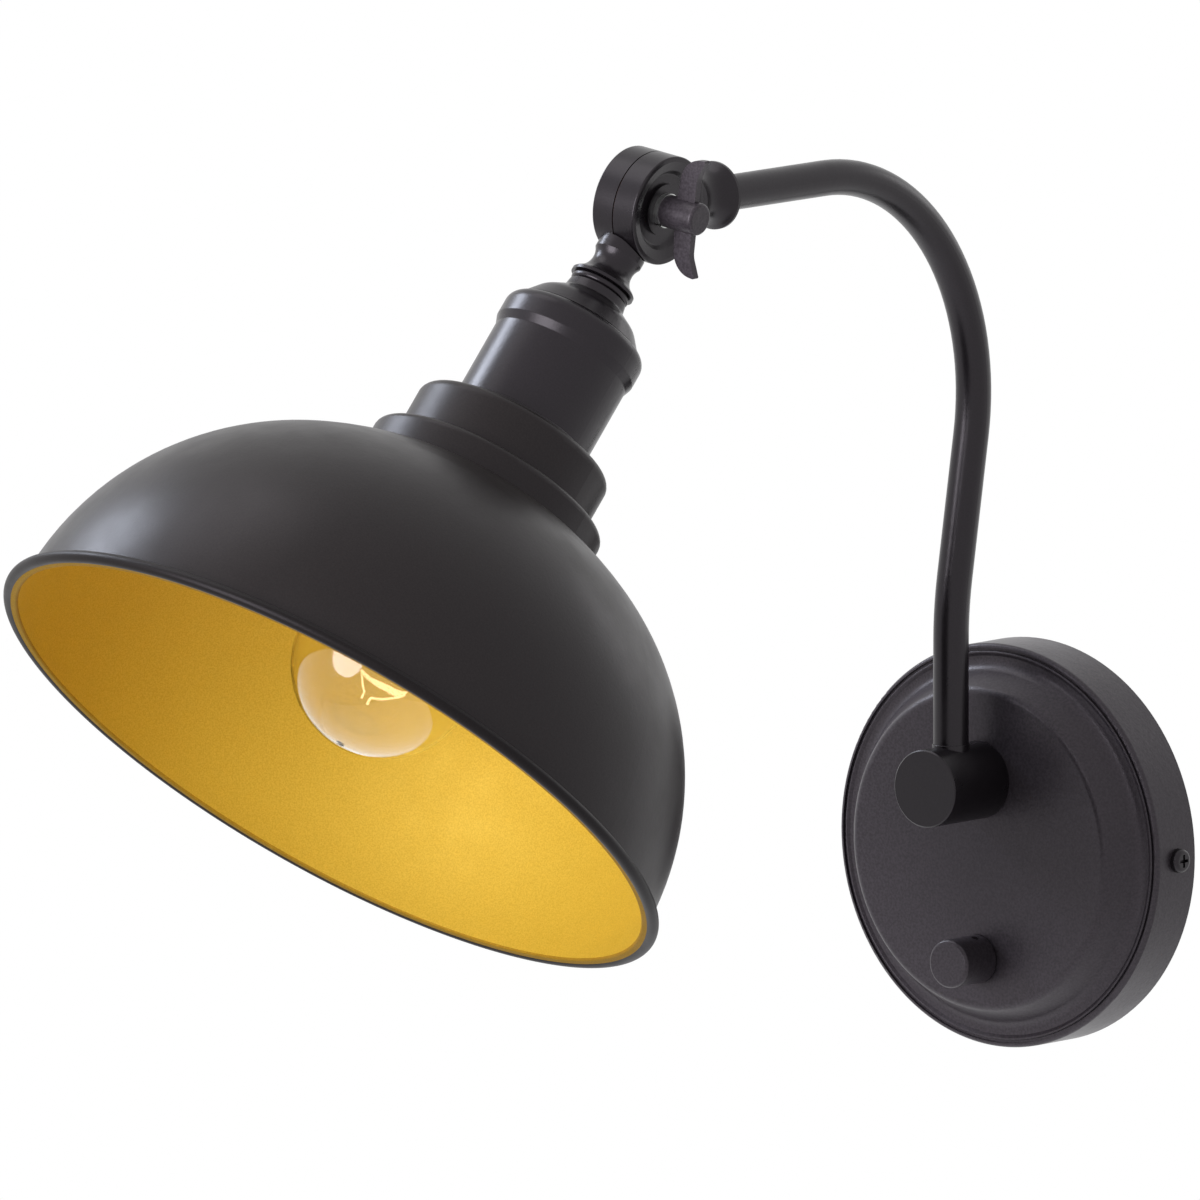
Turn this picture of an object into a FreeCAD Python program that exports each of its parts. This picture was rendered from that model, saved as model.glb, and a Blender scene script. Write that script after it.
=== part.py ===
import FreeCAD, Part
import math
import os
from FreeCAD import Placement, Rotation, Vector

# Wall lamp: canopy on the wall, bent tube arm, clamped swivel, dome shade with a bulb.
# Millimetres. The wall is the plane Y = 0, the lamp stands out towards -Y, +Z is up.

ACROSS = Vector(1, 0, 0)
TO_WALL = Vector(0, 1, 0)
UP = Vector(0, 0, 1)
ORIGIN = Vector(0, 0, 0)
FULL_TURN = 360.0
HALF_TURN = 180.0
RIGHT_ANGLE = 90.0
HEXAGON_SIDES = 6

# Clearances
fit_gap = 0.05
loose_gap = 0.4
nothing = 1e-6
overrun = 1.0

# Canopy, a pressed steel pan; depths are measured out from the wall
canopy_radius = 60.0
canopy_side_depth = 17.6
canopy_depth = 26.8
canopy_face_radius = 47.5
canopy_wall = 1.2
canopy_edge_round = 1.3
canopy_groove_width = 0.9
canopy_groove_depth = 0.9
canopy_bead_width = 1.5
canopy_valley_radius = 53.0
canopy_valley_drop = 0.5
canopy_valley_round = 4.0
canopy_face_round = 3.0
boss_height = 20.7
switch_height = -32.6
side_screw_depth = 8.0

# Wall bracket, a strap with two bent ears
bracket_wall = 1.5
bracket_half_length = 45.0
bracket_half_width = 19.0
bracket_corner = 6.0
bracket_ear_width = 16.0
bracket_ear_depth = 13.0
bracket_ear_gap = 0.7
wall_slot_spacing = 68.0
wall_slot_length = 10.0
wall_slot_radius = 2.4
supply_hole_radius = 6.5
supply_hole_height = 9.5

# Side screws of the canopy
side_screw_radius = 2.0
side_screw_length = 10.0
side_screw_head_radius = 3.6
side_screw_head_height = 2.3
side_screw_head_round = 1.3
cross_recess_width = 0.9
cross_recess_length = 3.8
cross_recess_depth = 1.2

# Terminal block and its wires, inside the canopy
block_length = 27.0
block_width = 15.0
block_height = 11.5
block_centre_height = -9.5
block_pitch = 9.0
block_groove = 1.6
block_screw_radius = 1.7
block_screw_sink = 1.0
block_screw_inset = 3.8
block_wire_depth = 7.5
block_fixing_radius = 1.5
wire_radius = 1.1
wire_bend = 4.0
earth_screw_place = 24.0
earth_screw_height = 11.0
earth_screw_radius = 2.0
earth_head_radius = 3.5
earth_head_height = 2.2
earth_head_round = 0.7
earth_ring_radius = 4.0
earth_ring_wall = 0.8
earth_barrel_length = 6.0
earth_barrel_radius = 1.7

# Boss that carries the arm
boss_radius = 11.5
boss_length = 25.5
boss_chamfer = 0.35
boss_collar_wall = 0.3
boss_collar_rise = 0.6
boss_collar_round = 0.2
arm_stand_off = 39.9
tube_seat_rise = 4.5
thread_radius = 5.0
thread_bore = 3.4
boss_thread_depth = 7.4
nut_across_flats = 14.0
nut_height = 3.5
nut_washer_radius = 8.0
nut_washer_wall = 1.2
nipple_tail = 1.4

# Bent tube
tube_radius = 5.25
tube_wall = 1.2
knee_height = 72.9
knee_bend = 105.0
arm_lean_deg = 10.35
arm_height = 206.2
arm_bend = 70.0
arm_reach = 140.9

# Switch and knob
switch_can_radius = 8.3
switch_can_depth = 11.5
switch_can_round = 0.6
switch_bush_radius = 3.5
switch_bush_rise = 2.4
switch_nut_flats = 10.0
switch_nut_height = 1.8
switch_tag_width = 3.0
switch_tag_length = 4.5
switch_tag_wall = 0.6
switch_tag_place = 4.0
shaft_radius = 2.2
shaft_flat = 0.6
shaft_foot = 8.0
shaft_rise = 11.2
knob_radius = 7.2
knob_length = 14.0
knob_lift = 0.5
knob_edge_round = 1.1
knob_foot_round = 0.4
knob_recess_radius = 6.3
knob_recess_depth = 2.2
knob_grub_radius = 1.2
knob_grub_rise = 4.2
knob_grub_sink = 0.8
knob_turn_deg = 17.0

# Swivel between the arm and the head
swivel_roll_deg = 8.0
swivel_radius = 16.1
swivel_half_thickness = 7.7
swivel_seam = 0.2
swivel_edge_round = 0.5
swivel_bevel_radius = 14.6
swivel_dish_radius = 11.8
swivel_dish_drop = 0.9
swivel_recess_radius = 10.6
swivel_recess_depth = 2.4
swivel_recess_round = 0.7
swivel_pocket_radius = 10.2
swivel_pocket_hub = 4.8
swivel_pocket_depth = 3.9
swivel_slot_width = 4.2
collar_radius = 7.4
collar_end = 18.4
waist_radius = 6.4
waist_share = 0.45
flange_radius = 10.0
flange_lip = 1.5
flange_round = 0.6
socket_depth = 4.5
arm_flange_distance = 30.5
head_flange_distance = 28.3
neck_bore = 2.6
friction_ring_inner = 11.2
friction_ring_outer = 15.7
flex_radius = 1.7
flex_offset = 2.0
flex_end = 8.0
flex_jog_start = 23.6
flex_jog_end = 17.6
flex_bend = 6.0

# Swivel bolt, washers and wing nut
bolt_radius = 3.0
bolt_square = 6.0
bolt_square_length = 4.4
bolt_head_radius = 7.0
bolt_head_height = 2.3
bolt_head_round = 1.6
bolt_end = 16.2
bolt_end_chamfer = 0.6
clamp_washer_radius = 7.6
clamp_washer_wall = 1.0
spring_washer_radius = 5.1
spring_washer_split = 1.0
washer_bore_gap = 0.2
hub_radius = 4.8
hub_end = 19.9
hub_round = 1.0
hub_bore_end = 17.2
wing_lean_deg = -1.0
wing_thickness = 2.2
wing_reach = 17.7
wing_root = 4.0
wing_near_edge = 11.4
wing_far_edge = 17.9
wing_tip_edge = 20.6
wing_tip_round = 0.5
wing_crown_reach = 16.9
wing_crown_round = 7.2
wing_hollow_reach = 11.5
wing_hollow_round = 6.0

# Head: heights along its axis add up from the rim of the shade to the swivel
head_elevation_deg = 52.2
shade_radius = 103.0
shade_side_share = 0.857
shade_lift_share = 0.037
shade_crown_share = 1.145
shade_wall = 0.8
rim_bead_radius = 1.8
rim_bead_overhang = 2.4
rim_lip_lift = 0.3
shade_step_radius = 37.2
shade_step_height = 8.5
shade_step_round = 2.2
shade_shoulder_radius = 30.9
shade_shoulder_height = 16.2
shade_shoulder_round = 3.0
shade_ring_radius = 27.0
shade_ring_height = 6.0
shade_ring_notches = 6
shade_ring_notch = 2.0

# Spun cup over the lamp holder, its cap and the ring above
cup_wall = 0.9
cup_radius = 21.3
cup_foot_radius = 23.3
cup_foot_height = 2.6
cup_foot_round = 0.9
cup_body_height = 26.8
cup_flare_height = 2.7
cup_bulge_radius = 22.3
cup_bulge_height = 8.6
cup_bulge_round = 3.8
cup_top_bore = 17.2
cap_wall = 1.2
cap_radius = 19.5
cap_shoulder_radius = 15.4
cap_shoulder_rise = 5.2
cap_shoulder_round = 8.0
cap_neck_radius = 9.6
cap_neck_rise = 8.8
cap_neck_round = 1.6
cap_height = 12.0
neck_ring_radius = 9.2
neck_ring_height = 2.2
neck_ring_round = 0.9
neck_nut_height = 3.2

# Lamp holder; its heights are measured from its mouth
holder_rise = 16.3
holder_radius = 19.6
holder_length = 51.0
holder_mouth_round = 0.5
holder_top_round = 3.0
holder_boss_radius = 8.2
holder_boss_height = 10.0
holder_socket_radius = 14.2
holder_floor = 27.0
holder_wire_floor = 44.0
shell_wall = 0.5
shell_start = 4.0
contact_leaf_width = 5.0
contact_leaf_wall = 0.5
contact_leaf_length = 9.0
contact_leaf_drop = 2.5
contact_tongue_length = 3.0

# Bulb; its heights are measured from the tip of the glass
bulb_length = 97.1
bulb_radius = 27.3
bulb_neck_radius = 14.6
bulb_neck_height = 61.1
bulb_glass_wall = 0.8
bulb_flare_height = 46.6
bulb_throat_height = 73.1
bulb_throat_radius = 12.6
bulb_cap_radius = 13.3
bulb_cap_wall = 0.5
bulb_cap_start = 70.6
bulb_cap_shoulder = 91.1
bulb_cap_end = 94.9
bulb_thread_pitch = 3.6
bulb_thread_turns = 5
bulb_thread_depth = 0.7
bulb_insulator_radius = 7.6
bulb_insulator_end = 96.3
bulb_contact_radius = 4.8
stem_radius = 2.4
stem_flare_radius = 8.0
stem_top = 42.6
lead_radius = 0.4
lead_bend = 1.0
lead_spread = 9.0
filament_height = 32.6
filament_radius = 0.7

# Places that follow from the sizes
switch_axis = Vector(0, switch_height, 0)
boss_axis = Vector(0, boss_height, 0)
arm_root = Vector(0, -arm_stand_off, boss_height)
pivot = Vector(0, -arm_stand_off - arm_reach, arm_height)
canopy_back = canopy_depth - canopy_wall
tube_bore = tube_radius - tube_wall
hub_base = swivel_half_thickness
recess_floor = swivel_half_thickness - swivel_recess_depth

# The dome's side arc and crown arc touch each other; the crown arc's centre is on the axis
side_arc_radius = shade_radius * shade_side_share
side_arc_height = shade_radius * shade_lift_share
side_arc_centre = shade_radius - math.sqrt(side_arc_radius ** 2 - side_arc_height ** 2)
crown_arc_radius = shade_radius * shade_crown_share
crown_start = math.acos(side_arc_centre / (crown_arc_radius - side_arc_radius))
crown_arc_height = (
    side_arc_height - (crown_arc_radius - side_arc_radius) * math.sin(crown_start))
crown_end = math.acos(shade_step_radius / crown_arc_radius)

# Heights over the rim of the shade
shade_step_foot = crown_arc_height + crown_arc_radius * math.sin(crown_end)
shade_step_top = shade_step_foot + shade_step_height
shade_shoulder_top = shade_step_top + shade_shoulder_height
cup_foot = shade_shoulder_top
cup_body_top = cup_foot + cup_body_height
cup_bulge_start = cup_body_top + cup_flare_height
cup_top = cup_bulge_start + cup_bulge_height
cap_top = cup_top + cap_height
head_length = cap_top + neck_ring_height + head_flange_distance
holder_mouth = shade_shoulder_top + holder_rise - holder_length
bulb_tip = holder_mouth + holder_floor - contact_leaf_drop - bulb_length

WALL_FRAME = Placement(ORIGIN, Rotation(ACROSS, RIGHT_ANGLE))
ROLL = Rotation(TO_WALL, swivel_roll_deg)
SWIVEL_FRAME = Placement(pivot, ROLL)
ARM_HALF_FRAME = SWIVEL_FRAME.multiply(Placement(ORIGIN, Rotation(Vector(0, 1, -1), HALF_TURN)))
HEAD_PIVOT_FRAME = SWIVEL_FRAME.multiply(
    Placement(ORIGIN, Rotation(ACROSS, head_elevation_deg - RIGHT_ANGLE)))
HEAD_FRAME = HEAD_PIVOT_FRAME.multiply(Placement(Vector(0, 0, -head_length), Rotation()))
HOLDER_FRAME = HEAD_FRAME.multiply(Placement(Vector(0, 0, holder_mouth), Rotation()))
BULB_FRAME = HEAD_FRAME.multiply(Placement(Vector(0, 0, bulb_tip), Rotation()))
BOLT_FRAME = HEAD_PIVOT_FRAME.multiply(Placement(ORIGIN, Rotation(TO_WALL, RIGHT_ANGLE)))


def in_frame(frame, shape):
    """A copy of the shape moved from its own frame into the lamp's."""
    moved = shape.copy()
    moved.Placement = frame.multiply(moved.Placement)
    return moved


def at(place, shape):
    """A copy of the shape moved by a vector."""
    return in_frame(Placement(place, Rotation()), shape)


def straight(start, end):
    """The straight edge between two points, or nothing where they meet."""
    if start.distanceToPoint(end) < nothing:
        return []
    return [Part.LineSegment(start, end).toShape()]


def rounded_path(points, rounds):
    """Straight edges along the points, with an arc of the given radius at each inner point."""
    edges = []
    start = points[0]
    for before, corner, after, radius in zip(points, points[1:], points[2:], rounds):
        arrive = (corner - before).normalize()
        leave = (after - corner).normalize()
        turn = arrive.getAngle(leave)
        reach = radius * math.tan(turn / 2)
        entry = corner - arrive * reach
        edges += straight(start, entry)
        start = corner + leave * reach
        if radius > 0:
            towards_centre = (leave - arrive).normalize()
            middle = corner + towards_centre * (radius / math.cos(turn / 2) - radius)
            edges.append(Part.Arc(entry, middle, start).toShape())
    return edges + straight(start, points[-1])


def outline_edges(corners):
    """Edges in the XZ plane through corners given as (radius, height) or with a rounding."""
    points = [Vector(corner[0], 0, corner[1]) for corner in corners]
    rounds = [corner[2] if len(corner) > 2 else 0 for corner in corners[1:-1]]
    return rounded_path(points, rounds)


def spin(face):
    """The face turned once about Z."""
    return face.revolve(ORIGIN, UP, FULL_TURN)


def turned(*corners):
    """Solid of revolution about Z whose half section joins the corners in a loop."""
    return spin(Part.Face(Part.Wire(outline_edges(list(corners) + [corners[0]]))))


def spun_sheet(edges, wall):
    """Sheet of one thickness whose outer side is the outline, turned about Z."""
    return spin(Part.Wire(edges).makeOffset2D(wall, 0, True, True, False))


def arc_edge(*ends_and_middle):
    """Arc in the XZ plane through three (radius, height) points."""
    return Part.Arc(*[Vector(radius, 0, height) for radius, height in ends_and_middle]).toShape()


def turned_arc(radius, height, reach, start, end):
    """Arc in the XZ plane about (radius, height), between two angles above the horizontal."""
    angles = (start, (start + end) / 2, end)
    return arc_edge(*[(radius + reach * math.cos(angle), height + reach * math.sin(angle))
                      for angle in angles])


def cylinder(radius, low, high, axis=UP):
    """Cylinder on an axis through the origin, between two heights."""
    return Part.makeCylinder(radius, high - low, axis * low, axis)


def ring(outer, inner, low, high):
    """Flat ring about Z."""
    return cylinder(outer, low, high).cut(cylinder(inner, low, high))


def block(low, high):
    """Box between two opposite corners."""
    size = high - low
    return Part.makeBox(size.x, size.y, size.z, low)


def hexagon(across_flats, low, high):
    """Six-sided prism about Z."""
    reach = across_flats / 2 / math.cos(math.pi / HEXAGON_SIDES)
    turns = [2 * math.pi / HEXAGON_SIDES * side for side in range(HEXAGON_SIDES + 1)]
    corners = [Vector(reach * math.cos(turn), reach * math.sin(turn), low) for turn in turns]
    return Part.Face(Part.makePolygon(corners)).extrude(UP * (high - low))


def rod_along(points, rounds, radius):
    """Round rod whose centre line follows the rounded path."""
    spine = Part.Wire(rounded_path(points, rounds))
    section = Part.Wire(Part.makeCircle(radius, points[0], points[1] - points[0]))
    return spine.makePipeShell([section], True, False)


def cross_recess(top):
    """Cross-shaped driver recess sunk below a screw head's top."""
    half_long = cross_recess_length / 2
    half_wide = cross_recess_width / 2
    low, high = top - cross_recess_depth, top + overrun
    bar = block(Vector(-half_long, -half_wide, low), Vector(half_long, half_wide, high))
    return bar.fuse(bar.rotated(ORIGIN, UP, RIGHT_ANGLE))


def canopy():
    """Pan with a beaded front edge and a raised flat face."""
    groove = canopy_radius - canopy_edge_round - canopy_groove_width
    bead = groove - canopy_bead_width
    land = canopy_side_depth - canopy_valley_drop
    side_bore = canopy_radius - canopy_wall
    pan = turned(
        (canopy_radius, 0),
        (canopy_radius, canopy_side_depth, canopy_edge_round),
        (groove + canopy_groove_width, canopy_side_depth),
        (groove + canopy_groove_width, canopy_side_depth - canopy_groove_depth),
        (groove, canopy_side_depth - canopy_groove_depth),
        (groove, canopy_side_depth + canopy_groove_depth / 2, canopy_groove_depth / 2),
        (bead, land),
        (canopy_valley_radius, land, canopy_valley_round),
        (canopy_face_radius, canopy_depth, canopy_face_round),
        (0, canopy_depth),
        (0, canopy_back),
        (canopy_face_radius - canopy_wall, canopy_back, canopy_face_round - canopy_wall),
        (canopy_valley_radius - canopy_wall, land - canopy_wall, canopy_valley_round),
        (side_bore, land - canopy_wall, canopy_edge_round),
        (side_bore, 0),
    )
    pan = pan.cut(at(boss_axis, cylinder(thread_radius + fit_gap, 0, canopy_depth)))
    pan = pan.cut(at(switch_axis, cylinder(switch_bush_radius + fit_gap, 0, canopy_depth)))
    screw_bore = Part.makeCylinder(
        side_screw_radius + fit_gap, 2 * canopy_radius,
        Vector(-canopy_radius, 0, side_screw_depth), ACROSS)
    return in_frame(WALL_FRAME, pan.cut(screw_bore))


def rounded_plate(half_length, half_width, corner, wall):
    """Flat plate with rounded corners, lying on the wall."""
    corners = [
        Vector(0, half_width, 0), Vector(half_length, half_width, 0),
        Vector(half_length, -half_width, 0), Vector(-half_length, -half_width, 0),
        Vector(-half_length, half_width, 0), Vector(0, half_width, 0)]
    edges = rounded_path(corners, [corner] * len(corners[1:-1]))
    return Part.Face(Part.Wire(edges)).extrude(UP * wall)


def ear_place():
    """Distance of the outer face of each ear from the middle of the bracket."""
    half_ear = bracket_ear_width / 2
    bore = canopy_radius - canopy_wall - bracket_ear_gap
    return math.sqrt(bore ** 2 - half_ear ** 2)


def wall_bracket():
    """Plate on the wall with slots for wall screws and two ears for the side screws."""
    reach = ear_place()
    half_ear = bracket_ear_width / 2
    ear_bend = bracket_wall * 2
    plate = rounded_plate(bracket_half_length, bracket_half_width, bracket_corner, bracket_wall)
    strap = rounded_path(
        [Vector(0, -half_ear, 0), Vector(reach, -half_ear, 0),
         Vector(reach, -half_ear, bracket_ear_depth)], [ear_bend])
    ear = Part.Wire(strap).makeOffset2D(-bracket_wall, 0, True, True, False)
    if ear.BoundBox.XMax > reach + fit_gap:
        ear = Part.Wire(strap).makeOffset2D(bracket_wall, 0, True, True, False)
    ear = ear.extrude(Vector(0, bracket_ear_width, 0))
    bracket = plate.fuse([ear, ear.mirror(ORIGIN, ACROSS)]).removeSplitter()
    half_slot = wall_slot_length / 2 - wall_slot_radius
    for side in (-1, 1):
        middle = side * wall_slot_spacing / 2
        ends = [at(Vector(middle + end, 0, 0), cylinder(wall_slot_radius, 0, bracket_wall))
                for end in (-half_slot, half_slot)]
        web = block(Vector(middle - half_slot, -wall_slot_radius, 0),
                    Vector(middle + half_slot, wall_slot_radius, bracket_wall))
        bracket = bracket.cut(ends[0].fuse([ends[1], web]))
    bracket = bracket.cut(
        at(Vector(0, supply_hole_height, 0), cylinder(supply_hole_radius, 0, bracket_wall)))
    bracket = bracket.cut(
        at(Vector(earth_screw_place, earth_screw_height, 0),
           cylinder(earth_screw_radius, 0, bracket_wall)))
    bracket = bracket.cut(
        at(Vector(0, block_centre_height, 0), cylinder(block_fixing_radius, 0, bracket_wall)))
    ear_bore = Part.makeCylinder(
        side_screw_radius, 2 * canopy_radius, Vector(-canopy_radius, 0, side_screw_depth), ACROSS)
    return in_frame(WALL_FRAME, bracket.cut(ear_bore))


def canopy_screws():
    """Two pan-head screws through the canopy's side into the bracket's ears."""
    top = side_screw_head_height
    head = turned((0, 0), (side_screw_head_radius, 0),
                  (side_screw_head_radius, top, side_screw_head_round), (0, top))
    screw = head.fuse(cylinder(side_screw_radius - fit_gap / 2, -side_screw_length, 0))
    screw = screw.cut(cross_recess(top))
    pair = []
    for side in (-1, 1):
        turn = Placement(Vector(side * canopy_radius, 0, side_screw_depth),
                         Rotation(UP, ACROSS * side))
        pair.append(in_frame(turn, screw))
    return in_frame(WALL_FRAME, Part.makeCompound(pair))


def block_front():
    """Depth of the terminal block's front face from the wall."""
    return bracket_wall + block_height


def terminal_block():
    """Three-way block with wire ways along Z, a groove between ways and a fixing hole."""
    half_length, half_width = block_length / 2, block_width / 2
    body = block(Vector(-half_length, -half_width, bracket_wall),
                 Vector(half_length, half_width, block_front()))
    for side in (-1, 1):
        groove = block(Vector(-block_groove / 2, -half_width, block_front() - block_groove),
                       Vector(block_groove / 2, half_width, block_front()))
        body = body.cut(at(Vector(side * block_pitch / 2, 0, 0), groove))
        for way in (-1, 0, 1):
            well = cylinder(block_screw_radius, block_wire_depth, block_front())
            body = body.cut(at(Vector(way * block_pitch, side * block_screw_inset, 0), well))
    body = body.cut(cylinder(block_fixing_radius + fit_gap, bracket_wall, block_front()))
    return in_frame(WALL_FRAME, at(Vector(0, block_centre_height, 0), body))


def terminal_screws():
    """Slotted clamp screws sunk in the terminal block."""
    top = block_front() - block_screw_sink
    screw = cylinder(block_screw_radius - fit_gap, block_wire_depth, top)
    slot = block(Vector(-block_screw_radius, -cross_recess_width / 2, top - cross_recess_width),
                 Vector(block_screw_radius, cross_recess_width / 2, top))
    screw = screw.cut(slot)
    places = [Vector(way * block_pitch, block_centre_height + side * block_screw_inset, 0)
              for way in (-1, 0, 1) for side in (-1, 1)]
    return in_frame(WALL_FRAME, Part.makeCompound([at(place, screw) for place in places]))


def block_fixing_screw():
    """Countersunk screw that holds the terminal block to the bracket."""
    top = block_front() - block_screw_sink
    screw = cylinder(block_fixing_radius - fit_gap, 0, top)
    return in_frame(WALL_FRAME, at(Vector(0, block_centre_height, 0), screw))


def earth_screw():
    """Screw in the bracket that clamps the earth tag."""
    seat = bracket_wall + earth_ring_wall
    top = seat + earth_head_height
    head = turned((0, seat), (earth_head_radius, seat), (earth_head_radius, top, earth_head_round),
                  (0, top))
    screw = head.fuse(cylinder(earth_screw_radius - fit_gap, 0, seat)).cut(cross_recess(top))
    return in_frame(WALL_FRAME, at(Vector(earth_screw_place, earth_screw_height, 0), screw))


def earth_tag():
    """Ring tag under the earth screw, with a barrel for its wire."""
    seat = bracket_wall
    plate = cylinder(earth_ring_radius, seat, seat + earth_ring_wall)
    reach = earth_ring_radius + earth_barrel_length
    neck = block(Vector(-reach + earth_barrel_length / 2, -earth_barrel_radius, seat),
                 Vector(0, earth_barrel_radius, seat + earth_ring_wall))
    barrel = Part.makeCylinder(
        earth_barrel_radius, earth_barrel_length,
        Vector(-reach, 0, seat + earth_barrel_radius), ACROSS)
    bore = Part.makeCylinder(
        wire_radius + fit_gap, earth_barrel_length,
        Vector(-reach, 0, seat + earth_barrel_radius), ACROSS)
    tag = plate.fuse([neck, barrel]).removeSplitter()
    tag = tag.cut(cylinder(earth_screw_radius + fit_gap, seat, seat + earth_ring_wall)).cut(bore)
    clear_head = cylinder(earth_head_radius + fit_gap, seat + earth_ring_wall, canopy_depth)
    tag = tag.cut(clear_head)
    return in_frame(WALL_FRAME, at(Vector(earth_screw_place, earth_screw_height, 0), tag))


def block_side(direction):
    """Height of the terminal block's upper (1) or lower (-1) side."""
    return block_centre_height + direction * block_width / 2


def earth_wire():
    """Wire from the terminal block's upper side to the barrel of the earth tag."""
    lift = bracket_wall + earth_barrel_radius
    end = earth_screw_place - earth_ring_radius - earth_barrel_length / 2
    points = [Vector(block_pitch, block_side(1), lift), Vector(block_pitch, earth_screw_height, lift),
              Vector(end, earth_screw_height, lift)]
    return in_frame(WALL_FRAME, rod_along(points, [wire_bend / 2], wire_radius))


def switch_wires():
    """Two wires from the terminal block's lower side to the tags of the switch."""
    end = canopy_back - switch_can_depth - switch_tag_length / 2
    wires = []
    for side in (-1, 1):
        place = side * switch_tag_place
        points = [Vector(place, block_side(-1), block_wire_depth),
                  Vector(place, switch_height, block_wire_depth),
                  Vector(place, switch_height, end)]
        wires.append(rod_along(points, [wire_bend / 2], wire_radius))
    return in_frame(WALL_FRAME, Part.makeCompound(wires))


def switch_body():
    """Round switch with a threaded bush through the canopy and two tags behind."""
    back = canopy_back - switch_can_depth
    can = turned((0, back), (switch_can_radius, back, switch_can_round),
                 (switch_can_radius, canopy_back), (0, canopy_back))
    bush = cylinder(switch_bush_radius, canopy_back, canopy_depth + switch_bush_rise)
    body = can.fuse(bush).removeSplitter()
    shaft_bottom = canopy_back - shaft_foot
    body = body.cut(cylinder(shaft_radius + fit_gap, shaft_bottom, canopy_depth + switch_bush_rise))
    for side in (-1, 1):
        tag = block(Vector(-switch_tag_width / 2, -switch_tag_wall / 2, back - switch_tag_length),
                    Vector(switch_tag_width / 2, switch_tag_wall / 2, back))
        eye = Part.makeCylinder(wire_radius + fit_gap, switch_tag_length / 2,
                                Vector(0, 0, back - switch_tag_length), UP)
        body = body.fuse(at(Vector(side * switch_tag_place, 0, 0), tag.cut(eye)))
    return in_frame(WALL_FRAME, at(switch_axis, body))


def switch_nut():
    """Thin nut that clamps the switch to the canopy, hidden in the knob."""
    top = canopy_depth + switch_nut_height
    nut = hexagon(switch_nut_flats, canopy_depth, top)
    nut = nut.cut(cylinder(switch_bush_radius + fit_gap, canopy_depth, top))
    return in_frame(WALL_FRAME, at(switch_axis, nut))


KNOB_FRAME = WALL_FRAME.multiply(Placement(switch_axis, Rotation(UP, -knob_turn_deg)))


def shaft_span():
    """Heights of the two ends of the switch shaft."""
    return canopy_back - shaft_foot + fit_gap, canopy_depth + shaft_rise


def switch_shaft():
    """Switch spindle with a flat for the grub screw."""
    low, high = shaft_span()
    flat_start = canopy_depth + switch_bush_rise
    spindle = cylinder(shaft_radius, low, high)
    flat = block(Vector(-shaft_radius, shaft_radius - shaft_flat, flat_start),
                 Vector(shaft_radius, shaft_radius, high))
    return in_frame(KNOB_FRAME, spindle.cut(flat))


def knob_grub_hole(radius):
    """Radial hole or screw from the spindle's flat to the knob's surface, on the upper side."""
    start = shaft_radius - shaft_flat
    return Part.makeCylinder(radius, knob_radius - start,
                             Vector(0, start, canopy_depth + knob_grub_rise), TO_WALL)


def knob():
    """Plain round knob, hollow behind for the nut, with a blind bore for the spindle."""
    base = canopy_depth + knob_lift
    top = base + knob_length
    high = shaft_span()[1]
    body = turned((0, base), (knob_radius, base, knob_foot_round),
                  (knob_radius, top, knob_edge_round), (0, top))
    body = body.cut(cylinder(knob_recess_radius, base, base + knob_recess_depth))
    bore = cylinder(shaft_radius + fit_gap, base, high)
    flat = block(Vector(-shaft_radius, shaft_radius - shaft_flat, base),
                 Vector(shaft_radius, shaft_radius + overrun, high))
    body = body.cut(bore.cut(flat))
    return in_frame(KNOB_FRAME, body.cut(knob_grub_hole(knob_grub_radius)))


def knob_grub_screw():
    """Headless screw against the flat of the spindle."""
    screw = knob_grub_hole(knob_grub_radius - fit_gap / 2)
    start = knob_radius - knob_grub_sink
    sink = block(Vector(-knob_radius, start, 0), Vector(knob_radius, knob_radius, canopy_depth * 2))
    return in_frame(KNOB_FRAME, screw.cut(sink))


def arm_boss():
    """Round boss with a thread behind, a collared socket above and a wire way between."""
    front = canopy_depth + boss_length
    thread_end = canopy_depth + boss_thread_depth
    body = turned((0, canopy_depth), (boss_radius, canopy_depth),
                  (boss_radius, front - boss_chamfer), (boss_radius - boss_chamfer, front),
                  (0, front))
    body = body.cut(cylinder(thread_radius + fit_gap, canopy_depth, thread_end))
    body = body.cut(cylinder(tube_bore, thread_end, arm_stand_off + tube_bore))
    body = in_frame(WALL_FRAME, at(boss_axis, body))
    top = boss_radius + boss_collar_rise
    collar_radius = tube_radius + boss_collar_wall
    collar = turned((0, tube_seat_rise), (collar_radius, tube_seat_rise),
                    (collar_radius, top, boss_collar_round), (0, top))
    wire_way = cylinder(tube_bore, 0, tube_seat_rise)
    socket = cylinder(tube_radius + fit_gap, tube_seat_rise, top)
    body = body.fuse(at(arm_root, collar)).removeSplitter()
    return body.cut(at(arm_root, wire_way)).cut(at(arm_root, socket))


def nipple_span():
    """Depths of the two ends of the threaded nipple from the wall."""
    back = canopy_back - nut_washer_wall - nut_height - nipple_tail
    return back, canopy_depth + boss_thread_depth


def boss_nipple():
    """Hollow threaded pipe that draws the boss against the canopy."""
    back, front = nipple_span()
    return in_frame(WALL_FRAME, at(boss_axis, ring(thread_radius, thread_bore, back, front)))


def boss_washer():
    """Washer between the nipple's nut and the canopy."""
    low = canopy_back - nut_washer_wall
    washer = ring(nut_washer_radius, thread_radius + fit_gap, low, canopy_back)
    return in_frame(WALL_FRAME, at(boss_axis, washer))


def boss_nut():
    """Hexagon nut on the nipple, inside the canopy."""
    high = canopy_back - nut_washer_wall
    nut = hexagon(nut_across_flats, high - nut_height, high)
    nut = nut.cut(cylinder(thread_radius + fit_gap, high - nut_height, high))
    return in_frame(WALL_FRAME, at(boss_axis, nut))


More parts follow.
